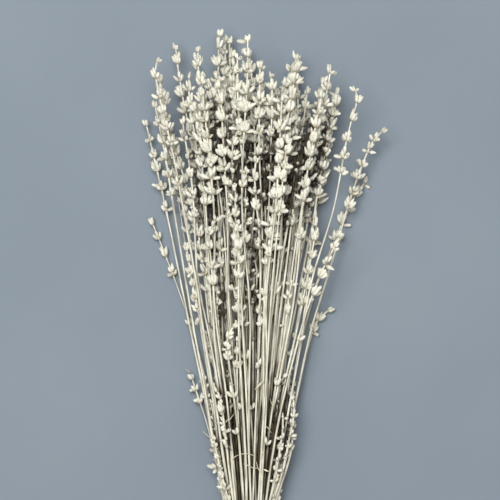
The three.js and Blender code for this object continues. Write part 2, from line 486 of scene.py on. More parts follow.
@dataclass(frozen=True)
class RubberFinish:
    """Thin pale rubber, dusty with age."""

    name: str = "dusty rubber"
    fresh: Colour = screen_colour(186, 150, 96)
    aged: Colour = screen_colour(150, 112, 66)
    bloom: Colour = screen_colour(214, 196, 158)
    grain_depth: float = 0.00006

    def make(self) -> bpy.types.Material:
        """Builds the material.

        Returns:
            The material.
        """
        material, bench, shader = new_material(self.name)
        place = bench.place()
        cloud = bench.noise(place, 160.0, 4.0)
        dust = bench.noise(place, 900.0, 3.0)
        worn = bench.mix(bench.remap(cloud, 0.35, 0.65, 0.0, 1.0), self.fresh, self.aged)
        bloomed = bench.mix(bench.remap(dust, 0.52, 0.7, 0.0, 0.5), worn, self.bloom)
        bench.feed(shader.inputs["Base Color"], bloomed)
        bench.feed(shader.inputs["Roughness"], bench.remap(dust, 0.35, 0.65, 0.45, 0.75))
        bench.bump(shader, dust, self.grain_depth)
        return material


@dataclass(frozen=True)
class FloorFinish:
    """A plain pale painted board."""

    name: str = "pale painted board"
    paint: Colour = screen_colour(127, 138, 148)
    worn: Colour = screen_colour(123, 134, 145)

    def make(self) -> bpy.types.Material:
        """Builds the material.

        Returns:
            The material.
        """
        material, bench, shader = new_material(self.name)
        cloud = bench.noise(bench.place(), 4.0, 5.0)
        mixed = bench.mix(bench.remap(cloud, 0.3, 0.7, 0.0, 1.0), self.paint, self.worn)
        bench.feed(shader.inputs["Base Color"], mixed)
        bench.feed(shader.inputs["Roughness"], bench.remap(cloud, 0.3, 0.7, 0.8, 0.9))
        return material


# ---------------------------------------------------------------- shapes


@dataclass
class Mould:
    """A small shape to be copied: x faces the stem, y runs sideways and z runs from foot to tip."""

    points: Array
    quads: Array
    tris: Array
    along: Array

    def copies(
        self, feet: Array, ways: Array, inward: Array, lengths: Array, widths: Array, bends: Array
    ) -> Array:
        """Sets copies of the shape in place.

        Args:
            feet: Where each copy's foot stands.
            ways: The way each copy points.
            inward: The way each copy faces, square to the way it points.
            lengths: How long each copy is.
            widths: The half width of each copy.
            bends: How far each tip leans inward, as a share of the length.

        Returns:
            The points of all copies, one row for each copy.
        """
        x, y, z = self.points.T
        side = np.cross(ways, inward)
        rise = lengths[:, None] * z
        toward = widths[:, None] * x + (bends * lengths)[:, None] * z * z
        across = widths[:, None] * y
        spread = inward[:, None] * toward[..., None] + side[:, None] * across[..., None]
        return feet[:, None] + ways[:, None] * rise[..., None] + spread

    def grains(self, lengths: Array, widths: Array, rng: np.random.Generator) -> Array:
        """Lays lengthwise coordinates on copies, each in a place of its own.

        Args:
            lengths: How long each copy is.
            widths: The half width of each copy.
            rng: The source of their places.

        Returns:
            The coordinates of all copies, in millimetres.
        """
        scale = np.stack([widths, widths, lengths], axis=-1)
        return self.points[None] * scale[:, None] + rng.uniform(-GRAIN_SPAN, GRAIN_SPAN, (len(lengths), 1, 3))


def turned_mould(rings: list[tuple[float, float]], foot: float, tip: float, sides: int, rib: float) -> Mould:
    """Makes a closed round shape with ribs.

    Args:
        rings: Height and radius of each ring, from the foot up.
        foot: Height of the point that closes the foot.
        tip: Height of the point that closes the tip.
        sides: How many sides it has.
        rib: How much every second side stands out.

    Returns:
        The shape.
    """
    turn = np.arange(sides) * FULL_TURN / sides
    swell = 1 + rib * np.where(np.arange(sides) % 2 == 0, 1, -1)
    layers = [
        np.column_stack([radius * swell * np.cos(turn), radius * swell * np.sin(turn), np.full(sides, height)])
        for height, radius in rings
    ]
    points = np.vstack([*layers, [[0, 0, foot]], [[0, 0, tip]]])
    return Mould(points, *tube_faces(len(rings), sides), np.clip(points[:, 2], 0, 1))


class BudForm(Enum):
    """The forms that a dried bud takes."""

    BLUNT = "blunt"
    POINTED = "pointed"
    OPEN = "open"


def bud_mould(form: BudForm, sides: int = 10, rib: float = 0.11) -> Mould:
    """Makes one bud: a ribbed tube with a narrow foot.

    Args:
        form: Which form to make.
        sides: How many sides it has.
        rib: How much every second side stands out.

    Returns:
        The shape.
    """
    if form is BudForm.BLUNT:
        rings = [(0.0, 0.32), (0.13, 0.66), (0.38, 0.97), (0.64, 1.0), (0.85, 0.8), (0.96, 0.42)]
        return turned_mould(rings, -0.02, 1.0, sides, rib)
    if form is BudForm.POINTED:
        rings = [(0.0, 0.3), (0.15, 0.7), (0.4, 1.0), (0.64, 0.84), (0.84, 0.48), (0.95, 0.22)]
        return turned_mould(rings, -0.02, 1.0, sides, rib)
    rings = [(0.0, 0.3), (0.12, 0.62), (0.38, 0.94), (0.66, 1.0), (0.93, 1.06), (0.82, 0.66)]
    shape = turned_mould(rings, -0.02, 0.6, sides, rib)
    mouth = slice(4 * sides, 5 * sides)
    teeth = np.where(np.arange(sides) % 2 == 0, 0.07, -0.05)
    shape.points[mouth, 2] += teeth
    # The inner ring and the centre of the mouth take the foot's brown, partly painted shade, so the open cup
    # is darker inside.
    shape.along[5 * sides : 6 * sides] = 0.12
    shape.along[-1] = 0.0
    return shape


def leaf_mould(stations: int, lanes: int, cup: float, thickness: float, belly: float) -> Mould:
    """Makes a thin closed leaf.

    Args:
        stations: How many steps along it.
        lanes: How many steps across it.
        cup: How deep its hollow is, as a share of its half width.
        thickness: How thick it is, as a share of its half width.
        belly: Where it is widest, as a share of its length.

    Returns:
        The shape.
    """
    along = np.linspace(0, 1, stations + 1)
    across = np.linspace(-1, 1, lanes + 1)
    peak = math.log(0.5) / math.log(belly)
    width = 0.06 + 0.94 * np.sin(math.pi * along**peak) ** 0.8
    grid_z, grid_y = np.meshgrid(along, across, indexing="ij")
    y = grid_y * width[:, None]
    x = cup * (grid_y**2) * width[:, None]
    inner = np.stack([x, y, grid_z], axis=-1).reshape(-1, 3)
    outer = inner - [thickness, 0, 0]
    row = lanes + 1
    size = len(inner)
    index = np.arange(size).reshape(stations + 1, row)
    face = np.stack([index[:-1, :-1], index[:-1, 1:], index[1:, 1:], index[1:, :-1]], axis=-1).reshape(-1, 4)
    rim = np.concatenate([index[0, :], index[1:, -1], index[-1, -2::-1], index[-2:0:-1, 0]])
    after = np.roll(rim, -1)
    wall = np.column_stack([rim, rim + size, after + size, after])
    quads = np.vstack([face, face[:, ::-1] + size, wall])
    points = np.vstack([inner, outer])
    return Mould(points, quads, np.zeros((0, 3), int), np.clip(points[:, 2], 0, 1))


def sweep(path: Array, radii: Array, sides: int, corner: float, twist: Array, slant: float) -> Mould:
    """Sweeps a squarish rod along a path, with cut ends.

    Args:
        path: The points that it follows.
        radii: Its radius at each point.
        sides: How many sides it has.
        corner: How much its corners stand out.
        twist: Its turn at each point.
        slant: How far the cut at its first end slants, as a share of its radius.

    Returns:
        The rod, its caps included, in its true place.
    """
    way = unit(np.gradient(path, axis=0))
    side = unit(np.cross(way, [0.0, 0.0, 1.0]))
    lift = np.cross(side, way)
    turn = np.arange(sides) * FULL_TURN / sides
    reach = radii[:, None] * (1 + corner * np.cos(4 * turn))
    angle = turn[None] + twist[:, None]
    ring = (
        path[:, None]
        + side[:, None] * (reach * np.cos(angle))[..., None]
        + lift[:, None] * (reach * np.sin(angle))[..., None]
    )
    ring[0] += way[0] * (slant * radii[0] * np.cos(turn))[:, None]
    points = np.vstack([ring.reshape(-1, 3), path[:1], path[-1:] + way[-1:] * radii[-1]])
    return Mould(points, *tube_faces(len(path), sides), np.ones(len(points)))


class Finish(Enum):
    """The finishes that a plant piece carries, in the order of its material slots."""

    BUD = 0
    STEM = 1
    BRACT = 2
    LEAF = 3
    PITH = 4


@dataclass
class Heap:
    """The parts of one piece, gathered before its mesh is made."""

    name: str
    nodes: tuple[str, ...] = ()
    points: list[Array] = field(default_factory=list)
    grains: list[Array] = field(default_factory=list)
    tones: list[Array] = field(default_factory=list)
    alongs: list[Array] = field(default_factory=list)
    covers: list[Array] = field(default_factory=list)
    quads: list[Array] = field(default_factory=list)
    tris: list[Array] = field(default_factory=list)
    quad_finishes: list[Array] = field(default_factory=list)
    tri_finishes: list[Array] = field(default_factory=list)
    size: int = 0

    def add(
        self, shape: Mould, placed: Array, grain: Array, tones: Array, finish: Finish, cover: float
    ) -> None:
        """Adds copies of a shape.

        Args:
            shape: The shape.
            placed: The points of its copies, one row for each copy.
            grain: Lengthwise coordinates of those points, in millimetres.
            tones: How light each copy is, from 0 to 1.
            finish: The finish that it takes.
            cover: How much surface one point stands for, in square millimetres.
        """
        count, size = placed.shape[:2]
        starts = self.size + np.arange(count)[:, None, None] * size
        self.points.append(placed.reshape(-1, 3))
        self.grains.append(grain.reshape(-1, 3))
        self.tones.append(np.repeat(tones, size))
        self.alongs.append(np.tile(shape.along, count))
        self.covers.append(np.full(count * size, cover))
        self.quads.append((shape.quads[None] + starts).reshape(-1, 4))
        self.tris.append((shape.tris[None] + starts).reshape(-1, 3))
        self.quad_finishes.append(np.full(count * len(shape.quads), finish.value))
        self.tri_finishes.append(np.full(count * len(shape.tris), finish.value))
        self.size += count * size

    def make(self, finishes: list[bpy.types.Material], shade: Shade, ceiling: Array) -> bpy.types.Object:
        """Makes the piece's mesh object.

        Args:
            finishes: The materials, in the order of Finish.
            shade: How open the bunch is at each place, which sets the painted shade.
            ceiling: The lowest and highest corners that the piece stays in.

        Returns:
            The object.
        """
        points = np.clip(np.vstack(self.points), ceiling[0], ceiling[1])
        mesh = bpy.data.meshes.new(self.name)
        faces = np.vstack(self.quads).tolist() + np.vstack(self.tris).tolist()
        mesh.from_pydata((points * MM).tolist(), [], faces)
        used = np.concatenate([*self.quad_finishes, *self.tri_finishes])
        mesh.polygons.foreach_set("material_index", used.astype(np.int32))
        mesh.polygons.foreach_set("use_smooth", np.ones(len(used), bool))
        # The openness sets where the finishes paint shade inside the bunch.
        values = {"tone": self.tones, "along": self.alongs, "openness": [shade.at(points)]}
        for label, parts in values.items():
            layer = mesh.attributes.new(label, "FLOAT", "POINT")
            layer.data.foreach_set("value", np.concatenate(parts).astype(np.float32))
        grain = mesh.attributes.new("grain", "FLOAT_VECTOR", "POINT")
        grain.data.foreach_set("vector", np.vstack(self.grains).astype(np.float32).ravel())
        made = new_object(self.name, mesh, finishes)
        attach(made, ROOT)
        if self.nodes:
            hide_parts(*self.nodes)
        return made


@dataclass
class Shade:
    """How open the bunch is at each place, from 0 inside it to 1 in the free air; the plant finishes paint
    shade where it is low.
    """

    low: Array
    high: Array
    cell: float = 3.0
    margin: int = 13
    reach: int = 12
    density: float = 0.3
    grid: Array = field(init=False)

    def __post_init__(self) -> None:
        """Lays out the empty grid."""
        shape = np.ceil((self.high - self.low) / self.cell).astype(int) + 2 * self.margin
        self.grid = np.zeros(shape)

    def _cells(self, points: Array) -> Array:
        """Finds the cell that each point is in."""
        found = ((points - self.low) / self.cell).astype(int) + self.margin
        return np.clip(found, 0, np.array(self.grid.shape) - 1)

    def fill(self, heaps: list[Heap]) -> None:
        """Counts how much surface each cell holds.

        Args:
            heaps: The pieces that cast shade.
        """
        for heap in heaps:
            cells = self._cells(np.vstack(heap.points))
            np.add.at(self.grid, tuple(cells.T), np.concatenate(heap.covers))

    def settle(self) -> None:
        """Turns the counts into openness, looking out from each cell in every direction."""
        thickness = self.grid / self.cell**2 * self.density
        around = [np.array(way) - 1 for way in np.ndindex(3, 3, 3)]
        ways = [way for way in around if np.abs(way).sum() in (1, 3)]
        openness = np.zeros_like(self.grid)
        for way in ways:
            stride = math.sqrt(np.abs(way).sum())
            steps = range(1, int(self.reach / stride))
            passed = sum(np.roll(thickness, tuple(-step * way), (0, 1, 2)) for step in steps)
            openness += np.exp(-passed * stride)
        self.grid = openness / len(ways)

    def at(self, points: Array) -> Array:
        """Reads the openness at points, blended between cells.

        Args:
            points: The places to read.

        Returns:
            The openness of each.
        """
        where = (points - self.low) / self.cell + self.margin - 0.5
        base = np.floor(where).astype(int)
        part = where - base
        total = np.zeros(len(points))
        for corner in np.ndindex(2, 2, 2):
            weight = np.prod(np.where(np.array(corner) == 1, part, 1 - part), axis=1)
            cells = np.clip(base + corner, 0, np.array(self.grid.shape) - 1)
            total += weight * self.grid[tuple(cells.T)]
        return total


# ---------------------------------------------------------------- the plant


class Kind(Enum):
    """The kinds of sprig, by how high they flower."""

    TALL = "tall"
    MIDDLE = "middle"
    SHORT = "short"
    STRAY = "stray"
    THIN = "thin"


@dataclass(frozen=True)
class Habit:
    """How one kind of sprig flowers."""

    spike: float
    buds: float
    size: float
    pitch: float = 12.4


# How high each kind of inner sprig reaches, as shares of the way from the tie to the top.
TIP_SPANS = {
    Kind.TALL: (0.87, 1.03),
    Kind.MIDDLE: (0.62, 0.86),
    Kind.SHORT: (0.38, 0.62),
    Kind.THIN: (0.24, 0.42),
}

HABITS = {
    Kind.TALL: Habit(spike=116, buds=10.5, size=1.0),
    Kind.MIDDLE: Habit(spike=90, buds=9.5, size=0.95),
    Kind.SHORT: Habit(spike=54, buds=7.5, size=0.84),
    Kind.STRAY: Habit(spike=92, buds=8.0, size=0.92),
    Kind.THIN: Habit(spike=70, buds=4.6, size=0.62, pitch=7.6),
}


@dataclass
class Patterns:
    """The small shapes that every sprig is made from."""

    buds: dict[BudForm, Mould] = field(default_factory=lambda: {form: bud_mould(form) for form in BudForm})
    bract: Mould = field(default_factory=lambda: leaf_mould(4, 2, 0.5, 0.12, 0.36))
    leaf: Mould = field(default_factory=lambda: leaf_mould(12, 4, 0.75, 0.12, 0.45))


@dataclass
class Sprig:
    """One sprig: a stem, its flowering spike and its few leaves."""

    kind: Kind
    path: Array
    spike: float
    seed: int
    butt_radius: float = 0.92
    belly_radius: float = 1.12
    neck_radius: float = 0.64
    pitch_growth: float = 1.025
    knot_swell: float = 0.3
    knot_reach: float = 2.6
    corner: float = 0.13
    bud_length: float = 9.2
    bud_radius: float = 1.8
    bud_tone_spread: float = 0.25
    form_shares: tuple[float, float, float] = (0.5, 0.3, 0.2)
    splayed_share: float = 0.15
    outer_share: float = 0.64
    inner_ring_rise: float = 2.2
    inner_ring_tilt: float = 0.3
    bract_length: float = 4.2
    bract_half_width: float = 1.5
    loose_fill: float = 0.4
    tones: Span = (0.35, 1.0)
    girths: Span = (0.82, 1.14)
    pitches: Span = (0.84, 1.22)
    pitch_steps: Span = (0.82, 1.2)
    loose_share: float = 0.45
    loose_gaps: Span = (14, 34)
    twists: Span = (-0.004, 0.004)
    slants: Span = (-0.7, 0.7)
    bud_lengths: Span = (0.88, 1.12)
    bud_widths: Span = (0.88, 1.1)
    bud_sizes: Span = (0.68, 1.14)
    turn_play: Span = (-0.28, 0.28)
    lean_play: Span = (0.62, 1.32)
    splayed_leans: Span = (1.1, 1.5)
    bend_play: Span = (0.6, 1.4)
    foot_stagger: Span = (-0.5, 0.6)
    whorl_fills: Span = (0.6, 1.2)
    whorl_sizes: Span = (0.84, 1.14)
    whorl_tilts: Span = (0.42, 1.0)
    whorl_lean: float = 0.15
    bract_leans: Span = (0.65, 1.1)
    tip_sizes: Span = (0.72, 0.95)
    leaf_chances: tuple[float, float, float] = (0.72, 0.2, 0.08)
    leaf_places: Span = (0.24, 0.62)
    leaf_lengths: Span = (8, 19)
    leaf_half_widths: Span = (0.5, 0.9)
    step: float = 6.0
    sides: int = 8

    def __post_init__(self) -> None:
        """Measures the path."""
        self.rng = np.random.default_rng(self.seed)
        steps = np.linalg.norm(np.diff(self.path, axis=0), axis=1)
        self.reach = np.concatenate([[0], np.cumsum(steps)])
        self.length = float(self.reach[-1])
        self.habit = HABITS[self.kind]
        self.tone = self.rng.uniform(*self.tones)
        self.girth = self.rng.uniform(*self.girths)

    def place(self, distances: Array) -> Array:
        """Finds points on the stem at distances from its cut end."""
        return np.stack([np.interp(distances, self.reach, self.path[:, i]) for i in range(3)], axis=-1)

    def way(self, distances: Array) -> Array:
        """Finds the way that the stem runs at distances from its cut end."""
        near = np.clip(distances - 3, 0, self.length - 6)
        return unit(self.place(near + 6) - self.place(near))

    def whorl_places(self) -> Array:
        """Lists the whorls from the tip down.

        Returns:
            How far each stands from the cut end.
        """
        places = []
        below = self.bud_length * 0.6
        pitch = self.habit.pitch * self.rng.uniform(*self.pitches)
        while below < self.spike:
            places.append(self.length - below)
            pitch *= self.pitch_growth
            below += pitch * self.rng.uniform(*self.pitch_steps)
        if self.rng.random() < self.loose_share:
            places.append(self.length - below - self.rng.uniform(*self.loose_gaps))
        return np.array(places)

    def build(self, heap: Heap, patterns: Patterns) -> None:
        """Builds the whole sprig into a piece.

        Args:
            heap: The piece to add to.
            patterns: The small shapes to copy.
        """
        places = self.whorl_places()
        self.add_stem(heap, places)
        self.add_tip(heap, patterns)
        for number, place in enumerate(places[1:], 1):
            loose = place < self.length - self.spike - 8
            self.add_whorl(heap, patterns, place, number, loose)
        self.add_leaves(heap, patterns)

    def add_stem(self, heap: Heap, knots: Array) -> None:
        """Adds the squarish stem, with a swelling at each knot and a cut end.

        Args:
            heap: The piece to add to.
            knots: How far each knot stands from the cut end.
        """
        count = max(8, int(self.length / self.step))
        distances = np.linspace(0, self.length - 2, count)
        path = self.place(distances)
        marks = [0, 60, 150, self.length]
        thick = [self.butt_radius, self.butt_radius, self.belly_radius, self.neck_radius]
        radii = np.interp(distances, marks, thick)
        radii *= self.girth
        radii *= 1 + 0.05 * np.sin(distances / 17 + self.seed)
        for knot in knots:
            radii += self.knot_swell * np.exp(-(((distances - knot + 1) / self.knot_reach) ** 2))
        twist = self.rng.uniform(0, math.pi) + distances * self.rng.uniform(*self.twists)
        slant = self.rng.uniform(*self.slants)
        rod = sweep(path, radii, self.sides, self.corner, twist, slant)
        turn = np.arange(self.sides) * FULL_TURN / self.sides
        grain = np.stack(
            [
                np.tile(np.cos(turn), (count, 1)) * radii[:, None],
                np.tile(np.sin(turn), (count, 1)) * radii[:, None],
                np.repeat(distances[:, None], self.sides, axis=1),
            ],
            axis=-1,
        ).reshape(-1, 3)
        grain = np.vstack([grain, [[0, 0, 0]], [[0, 0, self.length]]])
        grain += self.rng.uniform(-GRAIN_SPAN, GRAIN_SPAN, 3)
        cover = FULL_TURN * self.butt_radius * self.step / self.sides
        heap.add(rod, rod.points[None], grain[None], np.array([self.tone]), Finish.STEM, cover)
        heap.tri_finishes[-1][: self.sides] = Finish.PITH.value

    def add_buds(
        self, heap: Heap, mould: Mould, feet: Array, ways: Array, inward: Array, sizes: Array, bends: Array
    ) -> None:
        """Adds buds of one form.

        Args:
            heap: The piece to add to.
            mould: The form to copy.
            feet: Where each bud stands.
            ways: The way each points.
            inward: The way each faces.
            sizes: How large each is, against a full bud.
            bends: How far each leans inward at its tip.
        """
        count = len(feet)
        lengths = self.bud_length * sizes * self.rng.uniform(*self.bud_lengths, count)
        widths = self.bud_radius * np.sqrt(sizes) * self.rng.uniform(*self.bud_widths, count)
        inward = unit(inward - ways * np.sum(inward * ways, axis=1, keepdims=True))
        placed = mould.copies(feet, ways, inward, lengths, widths, bends)
        grain = mould.grains(lengths, widths, self.rng)
        tones = np.clip(self.tone + self.rng.normal(0, self.bud_tone_spread, count), 0, 1)
        heap.add(mould, placed, grain, tones, Finish.BUD, 0.9)

    def add_ring(
        self,
        heap: Heap,
        patterns: Patterns,
        foot: Array,
        way: Array,
        spin: float,
        count: int,
        size: float,
        tilt: float,
    ) -> None:
        """Adds one ring of buds round the stem.

        Args:
            heap: The piece to add to.
            patterns: The small shapes to copy.
            foot: Where the ring stands on the stem.
            way: The way that the stem runs.
            spin: The turn of the ring's first bud.
            count: How many buds it has.
            size: How large they are, against a full bud.
            tilt: How far they lean out from the stem.
        """
        turn = spin + (np.arange(count) + self.rng.uniform(*self.turn_play, count)) * FULL_TURN / count
        outward = round_way(way, turn)
        lean = tilt * self.rng.uniform(*self.lean_play, count)
        splayed = self.rng.random(count) < self.splayed_share
        lean = np.where(splayed, self.rng.uniform(*self.splayed_leans, count), lean)
        ways = np.cos(lean)[:, None] * way + np.sin(lean)[:, None] * outward
        stagger = self.rng.uniform(*self.foot_stagger, count)[:, None]
        feet = foot + outward * (0.45 * self.neck_radius + 0.35) + way * stagger
        sizes = size * self.rng.uniform(*self.bud_sizes, count)
        bends = np.where(splayed, 0.02, 0.22 * np.sin(lean) * self.rng.uniform(*self.bend_play, count))
        forms = self.rng.choice(3, count, p=self.form_shares)
        for number, form in enumerate(BudForm):
            chosen = forms == number
            if chosen.any():
                places = feet[chosen], ways[chosen], -outward[chosen]
                self.add_buds(heap, patterns.buds[form], *places, sizes[chosen], bends[chosen])

    def add_whorl(self, heap: Heap, patterns: Patterns, place: float, number: int, loose: bool) -> None:
        """Adds one whorl: an outer and an inner ring of buds over two bracts.

        Args:
            heap: The piece to add to.
            patterns: The small shapes to copy.
            place: How far it stands from the cut end.
            number: Its number, counted down from the tip.
            loose: Whether it stands alone, below the spike.
        """
        foot = self.place(np.array([place]))[0]
        way = unit(self.way(np.array([place]))[0] + self.rng.normal(0, self.whorl_lean, 3))
        fill = min(1.0, 0.52 + 0.14 * number) * (self.loose_fill if loose else 1.0)
        total = max(2, round(self.habit.buds * fill * self.rng.uniform(*self.whorl_fills)))
        size = self.habit.size * min(1.0, 0.86 + 0.04 * number) * self.rng.uniform(*self.whorl_sizes)
        spin = number * math.pi / 2 + self.rng.uniform(-0.3, 0.3)
        outer = max(2, round(total * self.outer_share))
        self.add_ring(heap, patterns, foot, way, spin, outer, size, self.rng.uniform(*self.whorl_tilts))
        if total > outer:
            above = foot + way * self.inner_ring_rise
            self.add_ring(heap, patterns, above, way, spin + 0.5, total - outer, size, self.inner_ring_tilt)
        self.add_bracts(heap, patterns.bract, foot - way * 0.9, way, spin + 0.7, size)

    def add_bracts(self, heap: Heap, mould: Mould, foot: Array, way: Array, spin: float, size: float) -> None:
        """Adds the two papery bracts under a whorl.

        Args:
            heap: The piece to add to.
            mould: The bract to copy.
            foot: Where they stand on the stem.
            way: The way that the stem runs.
            spin: The turn of the first one.
            size: How large they are, against full ones.
        """
        turn = spin + np.array([0, math.pi]) + self.rng.uniform(-0.3, 0.3, 2)
        outward = round_way(way, turn)
        lean = self.rng.uniform(*self.bract_leans, 2)
        ways = np.cos(lean)[:, None] * way + np.sin(lean)[:, None] * outward
        inward = np.sin(lean)[:, None] * way - np.cos(lean)[:, None] * outward
        lengths = self.bract_length * size * self.rng.uniform(0.8, 1.15, 2)
        widths = self.bract_half_width * size * self.rng.uniform(0.85, 1.1, 2)
        feet = foot + outward * 0.5
        placed = mould.copies(feet, ways, inward, lengths, widths, self.rng.uniform(0.1, 0.3, 2))
        grain = mould.grains(lengths, widths, self.rng)
        heap.add(mould, placed, grain, self.rng.uniform(0.2, 0.9, 2), Finish.BRACT, 0.5)

    def add_tip(self, heap: Heap, patterns: Patterns) -> None:
        """Adds the two or three buds that end the spike.

        Args:
            heap: The piece to add to.
            patterns: The small shapes to copy.
        """
        end = self.place(np.array([self.length - self.bud_length * 0.75]))[0]
        way = self.way(np.array([self.length]))[0]
        size = self.habit.size * self.rng.uniform(*self.tip_sizes)
        spin, count = self.rng.uniform(0, 6), int(self.rng.integers(2, 5))
        self.add_ring(heap, patterns, end, way, spin, count, size, self.inner_ring_tilt)

    def add_leaves(self, heap: Heap, patterns: Patterns) -> None:
        """Adds the few narrow curled leaves left on the lower stem.

        Args:
            heap: The piece to add to.
            patterns: The small shapes to copy.
        """
        count = int(self.rng.choice([0, 1, 2], p=self.leaf_chances))
        for _ in range(count):
            place = np.array([self.rng.uniform(*self.leaf_places) * self.length])
            foot = self.place(place)[0]
            way = self.way(place)[0]
            length, half = self.rng.uniform(*self.leaf_lengths), self.rng.uniform(*self.leaf_half_widths)
            add_leaf(heap, patterns.leaf, foot, way, self.rng, length, half)


def add_leaf(
    heap: Heap, mould: Mould, foot: Array, way: Array, rng: np.random.Generator, length: float, half: float
) -> None:
    """Adds one narrow curled leaf.

    Args:
        heap: The piece to add to.
        mould: The leaf to copy.
        foot: Where it stands.
        way: The way that its stem runs.
        rng: The source of its small differences.
        length: How long it is.
        half: Its half width.
    """
    side = unit(np.cross(way, unit(rng.normal(0, 1, 3))))
    lean = rng.uniform(0.12, 0.5)
    ahead = (math.cos(lean) * way + math.sin(lean) * side)[None]
    inward = (math.sin(lean) * way - math.cos(lean) * side)[None]
    bend = np.array([rng.uniform(-0.25, 0.35)])
    lengths, widths = np.array([length]), np.array([half])
    placed = mould.copies(foot[None], ahead, inward, lengths, widths, bend)
    grain = mould.grains(lengths, widths, rng)
    heap.add(mould, placed, grain, rng.uniform(0.3, 0.9, 1), Finish.LEAF, 0.6)


@dataclass
class Line:
    """The centre line of one sprig on the shared levels, from its foot to its tip."""

    kind: Kind
    across: Array
    foot: float
    tip: float
    spike: float
    node: str = ""


@dataclass
class Bunch:
    """The whole bunch: the framed sprigs, those packed between them, and the loose bits."""

    frame_nodes: dict[str, bpy.types.Object]
    seed: int = 17
    level_pitch: float = 10.0
    inner_counts: dict[Kind, int] = field(
        default_factory=lambda: {Kind.TALL: 34, Kind.MIDDLE: 28, Kind.SHORT: 7, Kind.THIN: 22}
    )
    stem_radius: float = 0.98
    stem_room: float = 0.34
    spike_radius: float = 4.0
    spike_floor: float = 5.2
    crossing_share: float = 0.5
    neighbours: int = 13
    edge_sprigs: int = 12
    slope_reach: float = 90.0
    band_room: float = 1.7
    edge_drop: float = 22.0
    right_drop: float = 18.0
    middle_rise: float = 6.0
    rounds: int = 36
    push_share: float = 0.4
    tie_reach: float = 60.0
    tie_splay: float = 0.16
    thin_spread: float = 0.07
    tip_bend_reach: float = 26.0
    straight_share: float = 0.62
    small_bends: Span = (0, 3.5)
    large_bends: Span = (6, 15)
    sway_lengths: Span = (16, 30)
    sway_sizes: Span = (0.1, 0.5)
    lean_lengths: Span = (26, 50)
    lean_sizes: Span = (0.5, 3.2)
    spike_play: Span = (0.8, 1.1)
    heaps: list[Heap] = field(default_factory=list)
    sprigs: list[Sprig] = field(default_factory=list)

    def __post_init__(self) -> None:
        """Reads the frame's sprigs and lays out the shared levels."""
        self.rng = np.random.default_rng(self.seed)
        low, high = (np.array(corner) * 1000 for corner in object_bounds())
        self.low, self.high = low, high
        self.levels = np.arange(low[1] - 2, high[1] + self.level_pitch, self.level_pitch)
        band_low, band_high = (np.array(corner) * 1000 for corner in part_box(BAND_NODE))
        self.neck = (band_low + band_high) / 2
        self.neck_room = (band_high[0] - band_low[0]) / 2 - self.band_room
        self.lines = [self.read_line(name) for name in sorted(self.frame_nodes) if name != BAND_NODE]

    def read_line(self, name: str) -> Line:
        """Reads the centre line of a framed sprig from the rings of its mesh.

        Args:
            name: The sprig's node.

        Returns:
            Its line.
        """
        mesh = self.frame_nodes[name].data
        points = np.empty(len(mesh.vertices) * 3)
        mesh.vertices.foreach_get("co", points)
        points = np.unique(np.round(points.reshape(-1, 3) * 1000, 3), axis=0)
        order = np.argsort(points[:, 1])
        points = points[order]
        splits = np.flatnonzero(np.diff(points[:, 1]) > 0.05) + 1
        rings = np.split(points, splits)
        centres = np.array([ring.mean(axis=0) for ring in rings])
        radii = np.array([np.linalg.norm(ring - ring.mean(axis=0), axis=1).max() for ring in rings])
        flowering = centres[radii > 2.2][0, 1]
        foot, tip = centres[0, 1], centres[-1, 1]
        slope_from = centres[-1, 1] - self.slope_reach
        across = np.empty((len(self.levels), 2))
        for column, axis in enumerate((0, 2)):
            inside = np.interp(self.levels, centres[:, 1], centres[:, axis])
            below = np.interp(slope_from, centres[:, 1], centres[:, axis])
            slope = (centres[-1, axis] - below) / self.slope_reach
            beyond = np.maximum(self.levels - tip, 0) * slope
            across[:, column] = inside + beyond
        kind = Kind(name.split("_")[0])
        return Line(kind, across, foot, tip, tip - flowering, name)

    def add_inner_lines(self) -> None:
        """Packs more sprigs between the framed ones, each between two neighbours."""
        framed = [line for line in self.lines if line.kind is not Kind.STRAY]
        top = np.array([line.across[-4] for line in framed])
        for kind, count in self.inner_counts.items():
            edge = np.argsort(np.abs(top[:, 0] - self.neck[0]))[-self.edge_sprigs :]
            for _ in range(count):
                first = int(self.rng.choice(edge) if kind is Kind.THIN else self.rng.integers(len(framed)))
                near = np.argsort(np.linalg.norm(top - top[first], axis=1))[1 : 1 + self.neighbours]
                second = int(self.rng.choice(near))
                self.lines.append(self.mixed_line(kind, framed[first], framed[second]))

    def mixed_line(self, kind: Kind, first: Line, second: Line) -> Line:
        """Draws a line that crosses from one sprig's course to another's.

        Args:
            kind: The kind of the new sprig.
            first: The line it starts near.
            second: The line it ends near.

        Returns:
            The new line.
        """
        start, end = self.rng.uniform(-0.1, 0.6), self.rng.uniform(0.4, 1.15)
        crossing = self.rng.random() < self.crossing_share
        rise = smooth_rise(self.levels, self.neck[1] - 40, self.neck[1] + (250 if crossing else 420))
        if crossing:
            start, end = self.rng.uniform(-0.5, 0.0), self.rng.uniform(0.8, 1.1)
        share = (start + (end - start) * rise)[:, None]
        across = first.across * (1 - share) + second.across * share
        across = across + self.rng.normal(0, 1, 2) * (1.0 + 4.0 * rise[:, None])
        if kind is Kind.THIN:
            across = across + (across - self.neck[[0, 2]]) * self.thin_spread + [0, 5]
        reach = self.high[1] - self.neck[1]
        low, high = TIP_SPANS[kind]
        tip = self.neck[1] + reach * (low + (high - low) * self.rng.random() ** 0.75)
        out = np.linalg.norm((across[-6] - self.neck[[0, 2]]) / [80, 55])
        if kind is Kind.TALL:
            right = max((across[-6, 0] - self.neck[0]) / 80, 0)
            tip += self.middle_rise - self.edge_drop * min(out, 1.4) ** 2 - self.right_drop * right
        foot = (first.foot + second.foot) / 2 + self.rng.uniform(-5, 4)
        foot = max(foot, self.low[1] + 0.5)
        spike = HABITS[kind].spike * self.rng.uniform(*self.spike_play)
        return Line(kind, across, foot, tip, spike)

